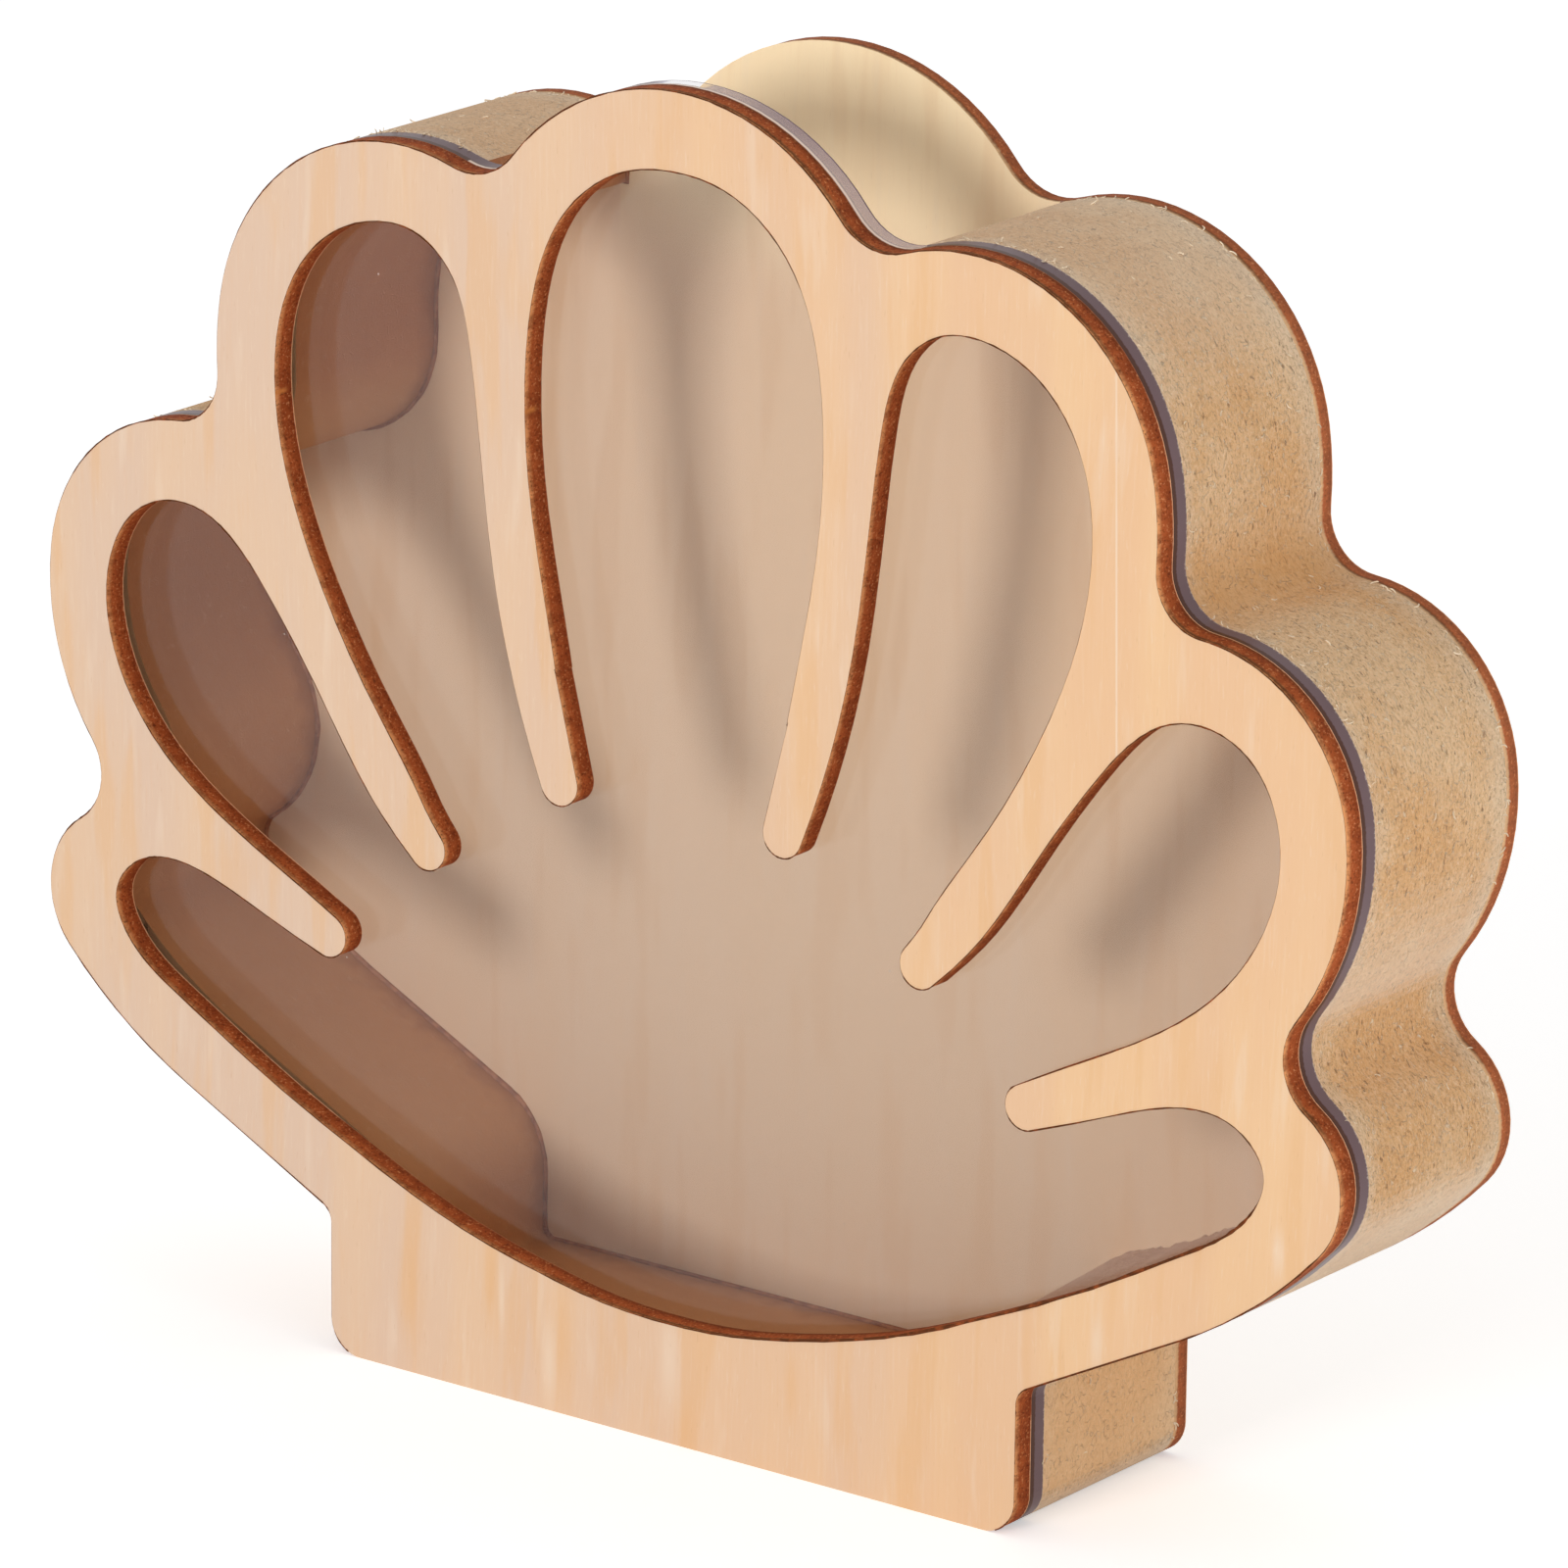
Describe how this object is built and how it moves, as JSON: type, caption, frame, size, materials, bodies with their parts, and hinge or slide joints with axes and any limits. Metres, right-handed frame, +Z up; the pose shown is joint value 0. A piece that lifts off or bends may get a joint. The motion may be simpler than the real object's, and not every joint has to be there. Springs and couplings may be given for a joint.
{
  "type": "shell display case",
  "caption": "Scallop-shaped standing display case with a windowed front frame, a clear pane, a deep core wall open at the top to take seashells, and a plain back.",
  "frame": {"origin": "middle of the case's footprint, on the surface that it stands on", "axes": "+X to the right as seen from the front, +Y from the front frame back to the back panel, +Z up"},
  "size_m": [0.18, 0.0326, 0.155],
  "materials": {
    "front_wood": "bare pale plywood, cut edges scorched reddish brown",
    "clear_pane": "clear acrylic sheet, glossy faces, greyish cut edge",
    "core_board": "bare fibreboard, matt and slightly fuzzy where cut",
    "back_wood": "bare pale plywood, cut edges scorched reddish brown"
  },
  "bodies": {
    "root": {"front_frame": "front_wood", "window_pane": "clear_pane", "core_ring": "core_board", "back_panel": "back_wood"}
  },
  "joints": []
}
